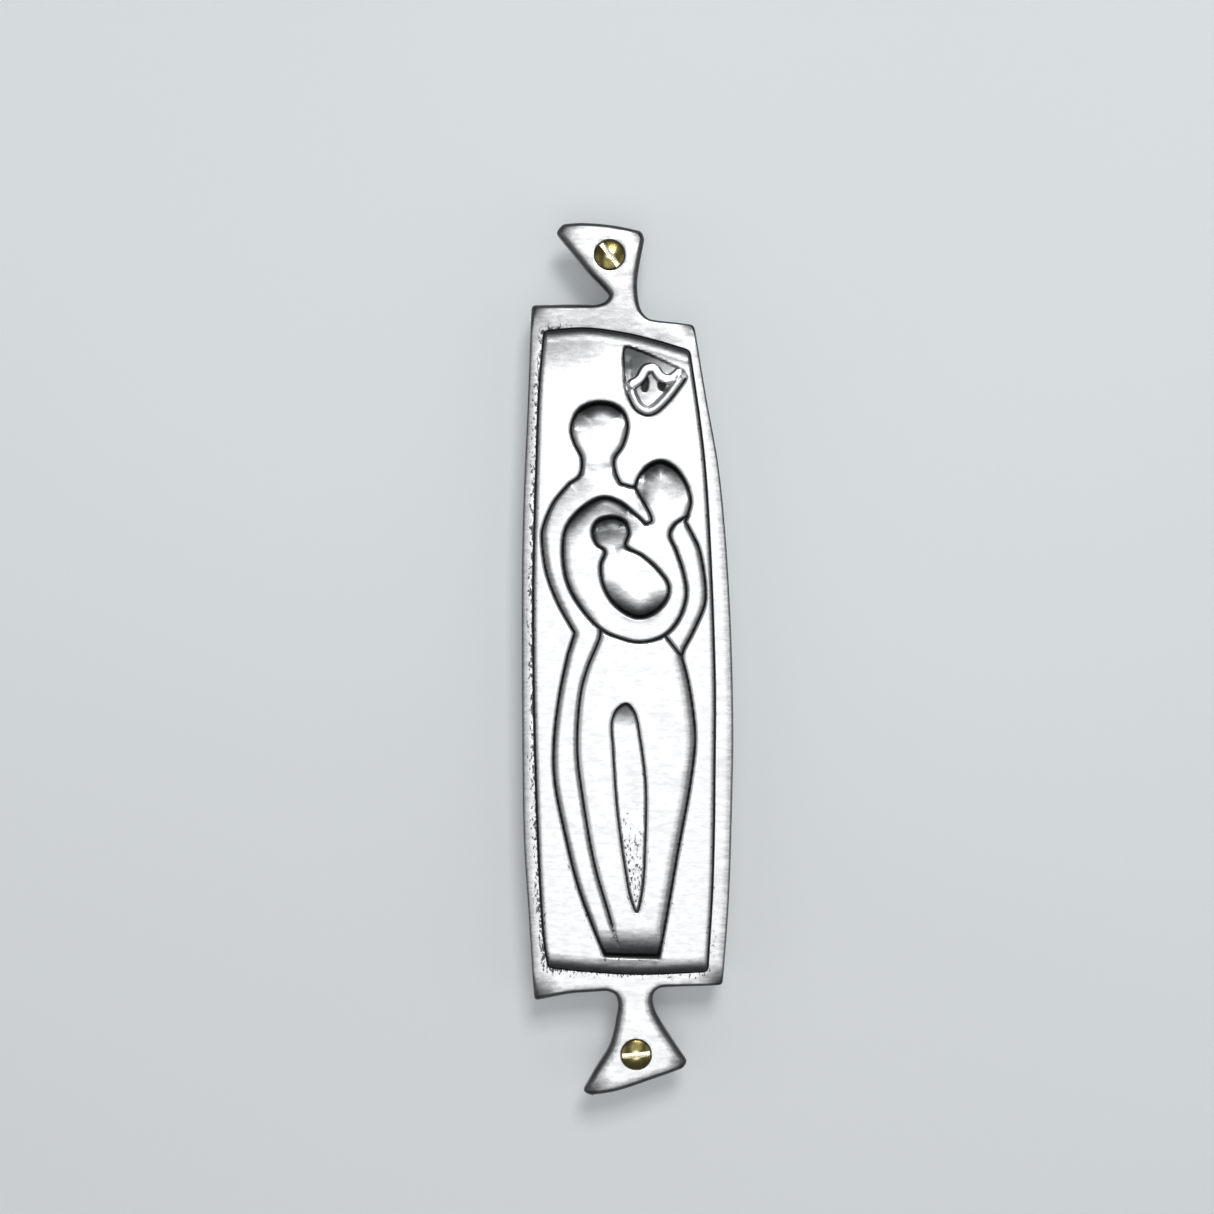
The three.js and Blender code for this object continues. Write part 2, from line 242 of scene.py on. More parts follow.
# joins and cuts whole solids, and gives back one bmesh
def combine(base, tools):
    obj = scratchObject(base)
    helpers = []
    for operation, bm in tools:
        helper = scratchObject(bm)
        helpers.append(helper)
        mod = obj.modifiers.new(operation, "BOOLEAN")
        mod.operation = operation
        mod.solver = "EXACT"
        mod.object = helper
    bpy.context.view_layer.update()
    done = obj.evaluated_get(bpy.context.evaluated_depsgraph_get())
    out = bmesh.new()
    out.from_mesh(done.to_mesh())
    done.to_mesh_clear()
    for o in [obj] + helpers:
        bpy.data.meshes.remove(o.data)
    return out


def setAttribute(mesh, name, values):
    attribute = mesh.attributes.new(name, "FLOAT", "POINT")
    attribute.data.foreach_set("value", np.asarray(values, np.float32))


def smoothFaces(mesh, angle=35):
    mesh.polygons.foreach_set("use_smooth", np.ones(len(mesh.polygons), bool))
    mesh.set_sharp_from_angle(angle=math.radians(angle))


bodyLeft = [(-17.7, -66.2), (-18.7, -50.1), (-19.65, -35.2), (-19.98, -9.1), (-19.98, 17.4), (-19.7, 28.9),
            (-18.9, 47.6), (-18.2, 65.8)]
bodyRight = [(12.6, 62.0), (15, 47.6), (17.2, 35.2), (18.7, 20), (19.7, 0.6), (20, -16.6), (19.8, -27.8),
             (19.2, -46.5), (18.0, -63.2)]
topTab = [
    [(-7.4, 65.7), (-5.6, 65.85), (-4.2, 66.45), (-3.55, 67.6), (-4.5, 68.9), (-7.2, 71.7), (-9.5, 74.5),
     (-11.8, 77.3), (-13.9, 79.9)],
    [(-12.8, 81.1), (-8.5, 81.3), (-3, 80.85), (3.1, 79.7)],
    [(3.3, 78.8), (2.3, 73.6), (1.85, 70.3), (2, 67), (2.65, 64.6), (3.9, 63.2), (5.4, 62.75)],
]
bottomTab = [
    [(8.4, -63.35), (6.3, -63.6), (5.2, -64.4), (4.75, -65.7), (5.1, -67.7), (6.1, -69.8), (9.2, -74.6),
     (11.6, -78.1)],
    [(11.0, -78.8), (4.8, -80.95), (-1.8, -83.15), (-7.6, -84.2)],
    [(-8.7, -83.7), (-6.1, -79.1), (-3.4, -74.6), (-2.1, -69.3), (-1.8, -66.7), (-2.4, -65), (-3.8, -64.3),
     (-5.6, -64.35)],
]
panelSides = [
    [(-14.8, -59.4), (-15.7, -53.9), (-17.2, -24), (-17.7, 10.6), (-17.1, 35.2), (-16.5, 50.8), (-15.6, 60.5)],
    [(-15.6, 60.5), (-8.2, 61), (-0.3, 60), (5.9, 58.5), (11.5, 56.8)],
    [(11.5, 56.8), (13.3, 44.6), (14.4, 35.2), (15.5, 17.4), (16.3, -6), (16.3, -15), (15.9, -42.7), (14.9, -60.2)],
    [(14.9, -60.2), (2.1, -60.7), (-7.3, -60.2), (-14.8, -59.4)],
]
panelOutline = joinSides(panelSides, 0.7)
bodyOutline = joinSides([bodyLeft, [(-18.2, 65.8), (-5.3, 65.7), (3.8, 63), (12.6, 62.0)], bodyRight,
                         [(18.0, -63.2), (-3.9, -64.3), (-11.1, -64.8), (-17.7, -66.2)]], 0.9)
wholeOutline = joinSides([bodyLeft, [(-18.2, 65.8), (-8.2, 65.7)]] + topTab + [[(6, 62.7), (12.6, 62.0)], bodyRight,
                          [(18.0, -63.2), (8.9, -63.4)]] + bottomTab
                         + [[(-6.2, -64.4), (-11.1, -64.8), (-17.7, -66.2)]], 0.9)
screwSpots = {"top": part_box("top_screw"), "bottom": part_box("bottom_screw")}


def middle(box):
    return (box[0] + box[1]) / 2


border = {
    "tabBack": 7.0, "sideRound": 0.4, "tabRound": 1.0, "tabBackRound": 0.4, "pocketFloor": 9.4, "grooveWidth": 0.3,
    "rings": (0, 0.05, 0.12, 0.24, 0.4, 0.6, 0.85, 1.1), "pocketRound": 0.14, "holeRound": 0.1, "backRound": 0.35,
    "cell": 0.8, "cornerRoll": 0.5, "cornerReach": 5.0, "wave": 0.06, "draft": 0.007,
    "holeRadius": 1.7, "sinkRadius": 2.95, "headRim": 0.2, "recessGap": 0.3, "recessDepth": 1.3,
    "channelWidth": 9.1, "channelLength": 103.2, "channelDepth": 9.8,
}


def roundedRectangle(width, height, corner):
    x, z = width / 2, height / 2
    ring = [(-x, -z), (x, -z), (x, z), (-x, z), (-x, -z)]
    return joinSides([ring[k:k + 2] for k in range(4)], corner)


# a countersunk hole's cutter, with its mouth at the border's front
def sinkMesh(spot, b):
    bm = bmesh.new()
    profile = [(0, tabFront + 2), (b["sinkRadius"], tabFront + 2), (b["sinkRadius"], tabFront - b["headRim"]),
               (b["holeRadius"], tabFront - b["headRim"] - (b["sinkRadius"] - b["holeRadius"])),
               (b["holeRadius"], b["tabBack"] - 2), (0, b["tabBack"] - 2)]
    verts = [bm.verts.new((spot.x + r * mm, -d * mm, spot.z)) for r, d in profile]
    edges = [bm.edges.new(pair) for pair in zip(verts, verts[1:])]
    bmesh.ops.spin(bm, geom=verts + edges, cent=(spot.x, 0, spot.z), axis=(0, 1, 0), angle=math.tau,
                   steps=48, use_merge=True)
    bmesh.ops.remove_doubles(bm, verts=bm.verts, dist=1e-7)
    bmesh.ops.recalc_face_normals(bm, faces=bm.faces)
    return bm


# rounds the edges of a rim lying at this depth, where pick(x, z) is true
def roundRim(bm, depth, pick, size, segments=3):
    rim = []
    for e in bm.edges:
        if all(abs(v.co.y + depth * mm) < 1e-7 for v in e.verts) and e.calc_face_angle(0) > 0.5:
            x, z = (e.verts[0].co.x + e.verts[1].co.x) / 2 / mm, (e.verts[0].co.z + e.verts[1].co.z) / 2 / mm
            if pick(x, z):
                rim.append(e)
    bmesh.ops.bevel(bm, geom=rim, offset=size * mm, offset_type="OFFSET", segments=segments, profile=0.5,
                    affect="EDGES", material=-1, clamp_overlap=False)


def makeBorder(b):
    front = plateMesh(wholeOutline, roundedEdge(b["tabBack"], b["tabBackRound"], 1)
                      + [(size, tabFront) for size in b["rings"]])
    block = plateMesh(grownOutline(bodyOutline, -0.03), roundedEdge(0, b["backRound"], 1) + [(0, tabFront - 1.6)])
    pocket = plateMesh(grownOutline(panelOutline, b["grooveWidth"]), [(0, b["pocketFloor"]), (0, tabFront + 3)])
    recess = plateMesh(roundedRectangle((plateHigh.x - plateLow.x) / mm + 2 * b["recessGap"],
                                        (plateHigh.z - plateLow.z) / mm + 2 * b["recessGap"], 2.3),
                       [(0, -2), (0, b["recessDepth"])])
    channel = plateMesh(roundedRectangle(b["channelWidth"], b["channelLength"], 2), [(0, -2), (0, b["channelDepth"])])
    tools = [("UNION", block), ("DIFFERENCE", pocket), ("DIFFERENCE", recess), ("DIFFERENCE", channel)]
    tools += [("DIFFERENCE", sinkMesh(middle(box), b)) for box in screwSpots.values()]
    bm = combine(front, tools)
    roundRim(bm, tabFront, lambda x, z: abs(z) < 64, b["pocketRound"])
    roundRim(bm, tabFront, lambda x, z: abs(z) > 64, b["holeRound"], 2)
    roundRim(bm, 0, lambda x, z: abs(x) < 10 and abs(z) < 58, 0.2, 2)
    # cross lines over the whole piece, so that its flats can be worked by hand
    for axis, low, high in (("x", castLow.x, castHigh.x), ("z", castLow.z, castHigh.z)):
        normal = (1, 0, 0) if axis == "x" else (0, 0, 1)
        for k in range(1, int((high - low) / (b["cell"] * mm))):
            spot = [low + k * b["cell"] * mm if name == axis else 0 for name in "xyz"]
            bmesh.ops.bisect_plane(bm, geom=bm.verts[:] + bm.edges[:] + bm.faces[:], dist=1e-6,
                                   plane_co=spot, plane_no=normal)
    bmesh.ops.triangulate(bm, faces=[f for f in bm.faces if len(f.verts) > 4])
    obj = meshObject("castBorder", bm, "casting")
    mesh = obj.data
    co = np.empty(len(mesh.vertices) * 3)
    mesh.vertices.foreach_get("co", co)
    co = co.reshape(-1, 3)
    spots = co[:, [0, 2]] / mm
    depth = -co[:, 1] / mm
    dist, _, _ = nearest(spots, wholeOutline, True)
    grooveDist, _, _ = nearest(spots, panelOutline, True)
    onFront = smoothStep(tabFront - 0.6, tabFront - 0.05, depth)
    onTab = smoothStep(60, 66, np.abs(spots[:, 1]))
    size = b["sideRound"] + (b["tabRound"] - b["sideRound"]) * onTab
    inRound = np.clip(dist / size, 0, 1)
    drop = size * (1 - np.sqrt(np.clip(1 - (1 - inRound) ** 2, 0, 1)))
    slant = 0.07 + 0.1 * smoothStep(-8, -15, spots[:, 0])
    drop += slant * (1 - np.clip(dist / 2.8, 0, 1)) ** 2
    corners = [(-18.2, 65.8), (12.6, 62.0), (18.0, -63.2), (-17.7, -66.2), (-13.5, 80.5), (3, 79.5), (11, -78.3),
               (-7.8, -84.2)]
    roll = np.zeros(len(co))
    for corner in corners:
        near = np.linalg.norm(spots - np.array(corner), axis=1)
        roll = np.maximum(roll, b["cornerRoll"] * (1 - np.clip(near / b["cornerReach"], 0, 1)) ** 2)
    wave = b["wave"] * (noiseAt(spots, 8) - 1)
    co[:, 1] += onFront * (drop + roll - np.minimum(wave, 0)) * mm
    co[:, 0] *= 1 - b["draft"] * (1 - np.clip(depth / tabFront, 0, 1))
    mesh.vertices.foreach_set("co", co.ravel())
    mesh.update()
    smoothFaces(mesh)
    inGroove = smoothStep(tabFront - 0.02, tabFront - 0.25, depth) * smoothStep(0.5, 0.35, grooveDist)
    setAttribute(mesh, "patina", inGroove * (depth > b["pocketFloor"] - 0.1))
    # painted shade for the colour: darker along the rounded edges, at the corners and tab tips, down the top tab's
    # left side, over the top border and on the sides
    shade = 0.9 * np.clip(1 - dist / (0.5 + 1.3 * onTab), 0, 1) ** 1.1
    tips = np.zeros(len(co))
    for corner, reach in zip(corners, (4, 4.5, 5, 6, 3.5, 4, 3.5, 6)):
        near = np.linalg.norm(spots - np.array(corner), axis=1)
        tips = np.maximum(tips, 0.8 * np.clip(1.15 - near / reach, 0, 1) ** 1.3)
    shade = np.maximum(shade, tips)
    leftTab = smoothStep(-1, -6, spots[:, 0]) * onTab * (spots[:, 1] > 0)
    shade = np.maximum(shade, 0.75 * np.clip(1 - dist / 2.4, 0, 1) ** 1.3 * leftTab)
    shade = np.maximum(shade, 0.3 * np.clip(1 - dist / 2.0, 0, 1) ** 1.2)
    shade = np.maximum(shade, 0.24 * smoothStep(56, 60, spots[:, 1]) * smoothStep(74, 66, spots[:, 1]))
    shade = np.maximum(shade, 0.16 * smoothStep(66, 72, spots[:, 1]))
    setAttribute(mesh, "shade", np.where(depth > tabFront - 2.2, shade, 0.2))
    beside = np.exp(-(grooveDist / 1.1) ** 2) * onFront
    leftSide = smoothStep(-8, -15, spots[:, 0])
    low = smoothStep(-40, -62, spots[:, 1])
    setAttribute(mesh, "pitting", np.clip(beside * (0.95 * leftSide + 0.5 * low + 0.1), 0, 1))
    mod = obj.modifiers.new("weighted", "WEIGHTED_NORMAL")
    mod.keep_sharp = True
    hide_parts("case_casting")
    return obj


panel = {"depth": 12.0, "columns": 148, "rows": 585, "floor": 9.4}

familySides = [
    [(-11, 31.8), (-9.3, 33), (-8.7, 34.6), (-8.8, 36.8), (-10, 39.2), (-10.7, 42.1), (-9.4, 45.4), (-7.4, 46.7),
     (-5, 47.1), (-2.6, 46.6), (-0.8, 45.2), (0, 42.7), (-0.9, 38.9), (-2.5, 36.3), (-2.2, 33.6), (-1.4, 31.9)],
    [(-1.2, 31.7), (0.9, 31.1)],
    [(1.3, 31.2), (2.2, 33.3), (4.1, 35.3), (6.3, 36), (8.7, 34.9), (11, 31.8), (11.9, 28.4), (11.3, 25.7)],
    [(10.9, 24.6), (12.3, 22), (13.5, 19.3), (14.7, 11.8), (14.5, 9), (12.4, 4), (10.6, 0.6)],
    [(10.2, -0.9), (11.3, -5.1), (12.3, -11), (12.7, -16.5), (11.8, -24.8), (9.5, -37.4), (7.6, -48.4), (6, -57.2)],
    [(5.9, -57.5), (-4.2, -57.2)],
    [(-4.4, -57), (-5.4, -54.6), (-9.2, -44.6), (-11.8, -34.4), (-13.8, -24), (-13.9, -16.6), (-12.8, -7.6),
     (-11.3, -0.4)],
    [(-10, 3.6), (-13.2, 9.3), (-15.4, 15.3), (-16.2, 21.9), (-16, 23.4), (-14.1, 28), (-11, 31.8)],
]
loopLine = [(3.4, 24.1), (1, 26.3), (-1.6, 28.3), (-4.7, 29.1), (-8.5, 27.2), (-11.6, 23.4), (-12.2, 18.4),
            (-11.3, 13), (-8.8, 8.4), (-5, 4.3), (-1.6, 2.7), (2.2, 1.9), (6.6, 3), (9.4, 5.9), (11, 10.6),
            (10.6, 14.4), (9.1, 19.1), (7.9, 22.1), (8.7, 23.9), (11.3, 25.7)]
neckLine = [(1.4, 31.1), (4.5, 24.7), (3.4, 24.1)]
skirtLeft = [(-5.1, 4.1), (-5.2, 2.9), (-7.5, -2.8), (-8.8, -7.6), (-9.5, -18.3), (-8.4, -27.8), (-6.2, -40.1),
             (-3.5, -49.4), (-1.8, -55.4)]
hipLine = [(7.2, 2.9), (10.3, -1)]
babyLine = [(-6.6, 22.9), (-5.6, 24.8), (-2.8, 25.5), (-0.5, 24.6), (0.2, 22.5), (-0.4, 20.1), (2.8, 18.1),
            (5.9, 15.3), (7.7, 12.5), (7.2, 9.8), (4.7, 7.2), (1.6, 6.5), (-2.2, 8.7), (-4.4, 12.1), (-5.1, 16.3), (-4.3, 19),
            (-5.8, 20.3)]
legGapLine = [(-0.2, -9.6), (-2, -10.6), (-3, -13), (-2.8, -18.3), (-2, -29.7), (-0.5, -40.8), (0.6, -46.5),
              (1.7, -48.9), (2.8, -44.6), (3.4, -33.3), (3.4, -24.8), (2.4, -16.5), (1.3, -11.3)]
shieldLine = [(-0.6, 57.6), (-0.8, 53.5), (-0.3, 49.6), (0.6, 47.1), (1.7, 45.5), (3.6, 44.6), (5.2, 45), (7.4, 46.9),
              (9.5, 49.5), (10.9, 51.7), (10.8, 52.9), (8.3, 54.3), (5.1, 55.8), (2.4, 56.9)]
waveLine = [(0.9, 50.4), (2.4, 51.6), (3.5, 53.3), (4.9, 53.5), (6.2, 51.9), (7.8, 51.4), (9.6, 52.6)]
pits = [((3.2, 50.7), 0.75, 1.6), ((6.5, 50.6), 0.8, 1.3)]


# a crease: deepest on the line, and easing out over a reach that may differ by side and direction
def dent(dist, reach, depth):
    return depth * (1 - np.clip(dist / reach, 0, 1)) ** 2


# how far a point lies within a round area, fading over its last 2 mm
def within(x, z, center, radius):
    return smoothStep(radius, radius - 2, np.hypot(x - center[0], z - center[1]))


def panelDepths(spots):
    edge, _, _ = nearest(spots, panelOutline, True)
    edge = np.where(insideOf(spots, panelOutline), edge, 0)
    x, z = spots[:, 0], spots[:, 1]
    family = joinSides(familySides)
    familyDist, familyAway, _ = nearest(spots, family, True)
    inFamily = insideOf(spots, family)
    height = panel["depth"] + 0.3 * smoothStep(-0.3, 0.5, np.where(inFamily, familyDist, -familyDist))
    # shades hold painted shade for the colour: head tops, feet, the shield's field, the rims and the crease flanks
    # darken where light falls off
    cuts, rolls, shades, lines = [], [], [], []

    # family outline: a tight crease, with the heads and the feet rolling down to it over a broad band inside
    upward = np.clip(-familyAway[:, 1] + 0.15, 0, 1) ** 1.3
    leftHead, rightHead = within(x, z, (-5.3, 41), 8), within(x, z, (6.7, 30), 7.5) * smoothStep(1.2, 3.2, x)
    heads = np.maximum(leftHead, rightHead)
    shoulder = 0.2 * within(x, z, (-11, 27), 8)
    upward = upward * np.maximum(heads, shoulder)
    rolls.append(dent(familyDist, 4.2, 1.5) * upward * inFamily)
    shades.append(0.97 * np.clip(1 - familyDist / 5.2, 0, 1) ** 0.9 * upward ** 0.8 * inFamily)
    leftTop = (z - 40.4) * 0.92 - (x + 5.4) * 0.4
    rightTop = (z - 28.8) * 0.95 + (x - 6.9) * 0.3
    shades.append(0.75 * np.clip((leftTop - 1.2) / 5.6, 0, 1) * leftHead * inFamily)
    shades.append(0.6 * np.clip((rightTop - 2.2) / 5.2, 0, 1) * rightHead * inFamily)
    hip = smoothStep(6, 8, x - 0.1 * z) * smoothStep(3, -3, z) * inFamily
    shades.append(0.5 * np.clip(1 - familyDist / 2.4, 0, 1) ** 1.2 * hip)
    arm = smoothStep(-9, -12, x) * smoothStep(-5, 6, z) * inFamily
    shades.append(0.55 * np.clip(1 - familyDist / 1.8, 0, 1) ** 1.2 * arm)
    above = np.clip(familyAway[:, 1], 0, 1) * heads * ~inFamily
    shades.append(0.5 * np.clip(1 - familyDist / 1.8, 0, 1) ** 2 * above)
    rolls.append(dent(familyDist, 1.3, 0.4) * inFamily)
    shades.append(0.75 * np.clip(1 - familyDist / 1.1, 0, 1) ** 1.5 * inFamily)
    rolls.append(dent(familyDist, 0.7, 0.15))
    feet = np.clip(1 - (z + 57.3) / 6.5, 0, 1) * inFamily
    rolls.append(1.4 * feet ** 2)
    shades.append(0.95 * feet ** 1.5)
    cuts.append(dent(familyDist, 0.36, 0.75))
    lines.append(familyDist)

    loop = smoothLine(loopLine)
    dist, away, _ = nearest(spots, loop)
    inLoop = insideOf(spots, loop)
    upper = np.clip(-away[:, 1] + 0.2 * (x < 0), 0, 1) ** 1.2 * smoothStep(3, 0, x)
    rolls.append(dent(dist, 2.2, 0.7) * upper * inLoop)
    shades.append(0.95 * np.clip(1 - dist / 3.6, 0, 1) * upper * inLoop)
    shades.append(0.6 * np.clip(1 - dist / 1.9, 0, 1) ** 1.2 * smoothStep(-3, -9, x) * inLoop)
    rolls.append(dent(dist, 1.0, 0.22))
    shades.append(0.6 * np.clip(1 - dist / 0.8, 0, 1) ** 1.5)
    cuts.append(dent(dist, 0.36, 0.75))
    lines.append(dist)

    for line, reach in ((neckLine, 0.9), (skirtLeft, 1.1), (hipLine, 0.8)):
        path = smoothLine(line)
        dist, away, side = nearest(spots, path)
        fade = smoothStep(-57, -50, z) if line is skirtLeft else 1
        rolls.append(dent(dist, reach, 0.3) * fade)
        shades.append(0.65 * np.clip(1 - dist / reach, 0, 1) ** 1.6 * fade * (side < 0))
        cuts.append(dent(dist, 0.36, 0.7) * fade)
        lines.append(dist + 0.6 * (1 - fade))

    baby = smoothLine(babyLine, True)
    dist, away, _ = nearest(spots, baby, True)
    inBaby = insideOf(spots, baby)
    top = np.clip(-away[:, 1] + 0.1, 0, 1) ** 1.2 * smoothStep(18, 21, z)
    bottom = np.clip(away[:, 1] + 0.1, 0, 1) ** 1.2 * smoothStep(15, 12, z)
    rolls.append((dent(dist, 3.0, 1.1) * top + dent(dist, 3.4, 1.2) * bottom) * inBaby)
    shades.append(np.clip(1 - dist / 3.8, 0, 1) ** 1.1 * bottom * inBaby)
    shades.append(np.clip(1 - dist / 4.5, 0, 1) ** 0.7 * top ** 0.6 * inBaby)
    shades.append(0.75 * smoothStep(19.5, 24.5, z - 0.25 * x) * inBaby)
    shades.append(0.6 * np.clip(1 - dist / 0.9, 0, 1) ** 1.5)
    shades.append(0.4 * np.clip(1 - dist / 2.2, 0, 1) ** 2 * smoothStep(9, 6, z) * ~inBaby)
    rolls.append(dent(dist, 1.0, 0.2))
    cuts.append(dent(dist, 0.36, 0.75))
    lines.append(dist)

    gap = smoothLine(legGapLine, True)
    gapDist, away, _ = nearest(spots, gap, True)
    inGap = insideOf(spots, gap)
    cuts.append(np.where(inGap, 0.75 * smoothStep(-0.1, 0.35, gapDist), 0))
    rolls.append(dent(gapDist, 0.7, 0.2) * ~inGap)
    arch = np.clip(1 + (z + 9.6) / 4.5, 0, 1) ** 1.1 * inGap
    shades.append(arch)
    shades.append(0.7 * np.clip(1 - gapDist / 0.6, 0, 1) ** 1.5 * inGap)
    lines.append(gapDist)

    # shield: a sunken face, with a raised lip along its lower sides
    shield = smoothLine(shieldLine, True)
    shieldDist, away, _ = nearest(spots, shield, True)
    inShield = insideOf(spots, shield)
    lip = smoothStep(0.0, 0.45, away[:, 1]) * inShield
    sunk = smoothStep(0.0, 0.3, shieldDist) * (1 - lip) + smoothStep(1.15, 1.9, shieldDist) * lip
    wave = smoothLine(waveLine)
    waveDist, _, _ = nearest(spots, wave)
    ridge = smoothStep(0.95, 0.65, waveDist) * inShield
    sunk = sunk * (1 - ridge) * inShield
    height += 0.25 * lip * smoothStep(0.1, 0.6, shieldDist) * smoothStep(1.7, 1.2, shieldDist) + 0.2 * ridge
    height -= 1.0 * sunk
    slope = np.clip((z - 46) / 10 - (x - 2) / 14, 0, 1)
    shades.append(sunk * (0.06 + 0.8 * slope))
    lower = smoothStep(0.1, -0.4, away[:, 1] * np.where(inShield, -1, 1))
    cuts.append(dent(shieldDist, 0.42, 0.75) * lower)
    shades.append(0.6 * np.clip(1 - shieldDist / 1.2, 0, 1) ** 1.6 * lower * ~inShield)
    lines.append(shieldDist + 0.5 * (1 - lower))
    lines.append(np.where(inShield & (shieldDist > 1.2), np.abs(waveDist - 0.95) + 0.12, 9))
    pitLook = np.zeros(len(x))
    for (px, pz), width, tall in pits:
        oval = np.hypot((x - px) / width, (z - pz) / tall)
        pitLook = np.maximum(pitLook, smoothStep(1.15, 0.75, oval) * (1 - ridge))
    height -= 0.7 * pitLook

    # the panel's rim: sharp at the sides, rolled off at the top and the bottom
    topDist, _, _ = nearest(spots, smoothLine(panelSides[1]))
    bottomDist, _, _ = nearest(spots, smoothLine(panelSides[3]))
    rimRound = 0.4
    inRim = np.clip(edge / rimRound, 0, 1)
    height -= rimRound * (1 - np.sqrt(np.clip(1 - (1 - inRim) ** 2, 0, 1)))
    rolls.append(dent(np.minimum(topDist, bottomDist), 2.6, 0.75))
    shades.append(0.9 * np.clip(1 - topDist / 3.6, 0, 1) ** 1.1)
    shades.append(0.85 * np.clip(1 - bottomDist / 3.4, 0, 1) ** 1.2)
    shades.append(0.5 * np.clip(1 - topDist / 9, 0, 1) * smoothStep(2, -12, x))
    band = smoothStep(-2, 1, x) * smoothStep(3.2, 2.2, topDist) * ~inShield
    shades.append(0.5 * band)
    shades.append(0.4 * smoothStep(-57.3, -58, z) * smoothStep(9, 5, np.abs(x)))
    rolls.append(dent(edge, 1.0, 0.15))
    shades.append(0.5 * np.clip(1 - edge / 0.7, 0, 1) ** 1.5)
    height -= np.maximum.reduce(rolls)
    height -= np.maximum.reduce(cuts)
    height += 0.02 * noiseAt(spots, 7)

    lineDist = np.minimum.reduce(lines)
    patina = np.maximum.reduce([np.exp(-(lineDist / 0.24) ** 2), pitLook, np.exp(-(edge / 0.16) ** 2)])
    pitting = np.maximum(0.62 * inGap * smoothStep(-24, -44, z), 0.5 * np.exp(-(gapDist / 0.4) ** 2) * inGap)
    pitting = np.maximum(pitting, 0.35 * np.exp(-(edge / 0.6) ** 2))
    pitting = np.maximum(pitting, 0.4 * np.exp(-(lineDist / 0.8) ** 2) * smoothStep(-20, -50, z))
    return height, np.clip(patina, 0, 1), np.clip(pitting, 0, 1), np.clip(np.maximum.reduce(shades), 0, 1)


def sideAt(side, share):
    line = smoothLine(side)
    run = np.concatenate([[0], np.cumsum(np.linalg.norm(np.diff(line, axis=0), axis=1))])
    run /= run[-1]
    return np.stack([np.interp(share, run, line[:, 0]), np.interp(share, run, line[:, 1])], axis=-1)


# shares along a side, closer together at both ends
def spread(count, length, first=0.05, growth=1.6):
    steps = []
    size = first
    while size < length / count:
        steps.append(size)
        size *= growth
    rest = count - 2 * len(steps)
    middleStep = (length - 2 * sum(steps)) / rest
    return np.cumsum([0] + steps + [middleStep] * rest + steps[::-1]) / length


def makePanel(p):
    bm = bmesh.new()
    bmesh.ops.create_grid(bm, x_segments=p["columns"], y_segments=p["rows"], size=0.5)
    rim = [e for e in bm.edges if e.is_boundary]
    skirt = bmesh.ops.extrude_edge_only(bm, edges=rim)
    lowered = [g for g in skirt["geom"] if isinstance(g, bmesh.types.BMVert)]
    bmesh.ops.translate(bm, verts=lowered, vec=(0, 0, -1))
    bmesh.ops.holes_fill(bm, edges=[e for e in bm.edges if e.is_boundary], sides=0)
    obj = meshObject("castPanel", bm, "casting")
    mesh = obj.data
    co = np.empty(len(mesh.vertices) * 3)
    mesh.vertices.foreach_get("co", co)
    co = co.reshape(-1, 3)
    across = spread(p["columns"], 32)
    up = spread(p["rows"], 120.5)
    u = across[np.rint((co[:, 0] + 0.5) * p["columns"]).astype(int)]
    v = up[np.rint((co[:, 1] + 0.5) * p["rows"]).astype(int)]
    left, top, right, bottom = panelSides
    uu, vv = u[:, None], v[:, None]
    low = [np.array(c, float) for c in (bottom[-1], bottom[0], top[0], top[-1])]
    spots = (sideAt(left, v) * (1 - uu) + sideAt(right, 1 - v) * uu
             + sideAt(bottom, 1 - u) * (1 - vv) + sideAt(top, u) * vv
             - (low[0] * (1 - uu) * (1 - vv) + low[1] * uu * (1 - vv) + low[2] * (1 - uu) * vv + low[3] * uu * vv))
    height, patina, pitting, shade = panelDepths(spots)
    below = co[:, 2] < -0.5
    height = np.where(below, p["floor"], height)
    patina = np.where(below, 1, patina)
    co = np.stack([spots[:, 0] * mm, -height * mm, spots[:, 1] * mm], axis=1)
    mesh.vertices.foreach_set("co", co.ravel())
    mesh.update()
    fix = bmesh.new()
    fix.from_mesh(mesh)
    bmesh.ops.recalc_face_normals(fix, faces=fix.faces)
    fix.to_mesh(mesh)
    fix.free()
    smoothFaces(mesh, 60)
    setAttribute(mesh, "patina", patina)
    setAttribute(mesh, "pitting", pitting)
    setAttribute(mesh, "shade", shade)
    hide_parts("case_casting")
    return obj


plateSet = {"inset": 0.02, "round": 0.18, "bow": 0.03}


def makePlate(s):
    width = (plateHigh.x - plateLow.x) / mm - 2 * s["inset"]
    height = (plateHigh.z - plateLow.z) / mm - 2 * s["inset"]
    thick = (plateHigh.y - plateLow.y) / mm
    near = -plateHigh.y / mm + s["inset"]
    far = near + thick - 2 * s["inset"]
    bm = plateMesh(roundedRectangle(width, height, 2), roundedEdge(near, s["round"], 1)
                   + roundedEdge(far, s["round"], -1)[::-1])
    for k in range(1, 56):
        bmesh.ops.bisect_plane(bm, geom=bm.verts[:] + bm.edges[:] + bm.faces[:], dist=1e-6,
                               plane_co=(0, 0, plateLow.z + k * 2 * mm), plane_no=(0, 0, 1))
    for v in bm.verts:
        v.co.y -= s["bow"] * mm * (1 - (2 * v.co.z / (plateHigh.z - plateLow.z)) ** 2)
    obj = meshObject("plateCover", bm, "plate")
    smoothFaces(obj.data)
    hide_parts("back_plate")
    return obj


screwSet = {
    "headRadius": 2.78, "dome": 0.6, "rim": 0.25, "shankRadius": 1.4, "coreRadius": 1.0, "shank": 6, "pitch": 1.1,
    "tip": 3, "length": 20, "slotWidth": 0.95, "slotDepth": 1.0, "steps": 48, "crest": 0.16,
}
slotAngles = {"top": -52, "bottom": 5.5}


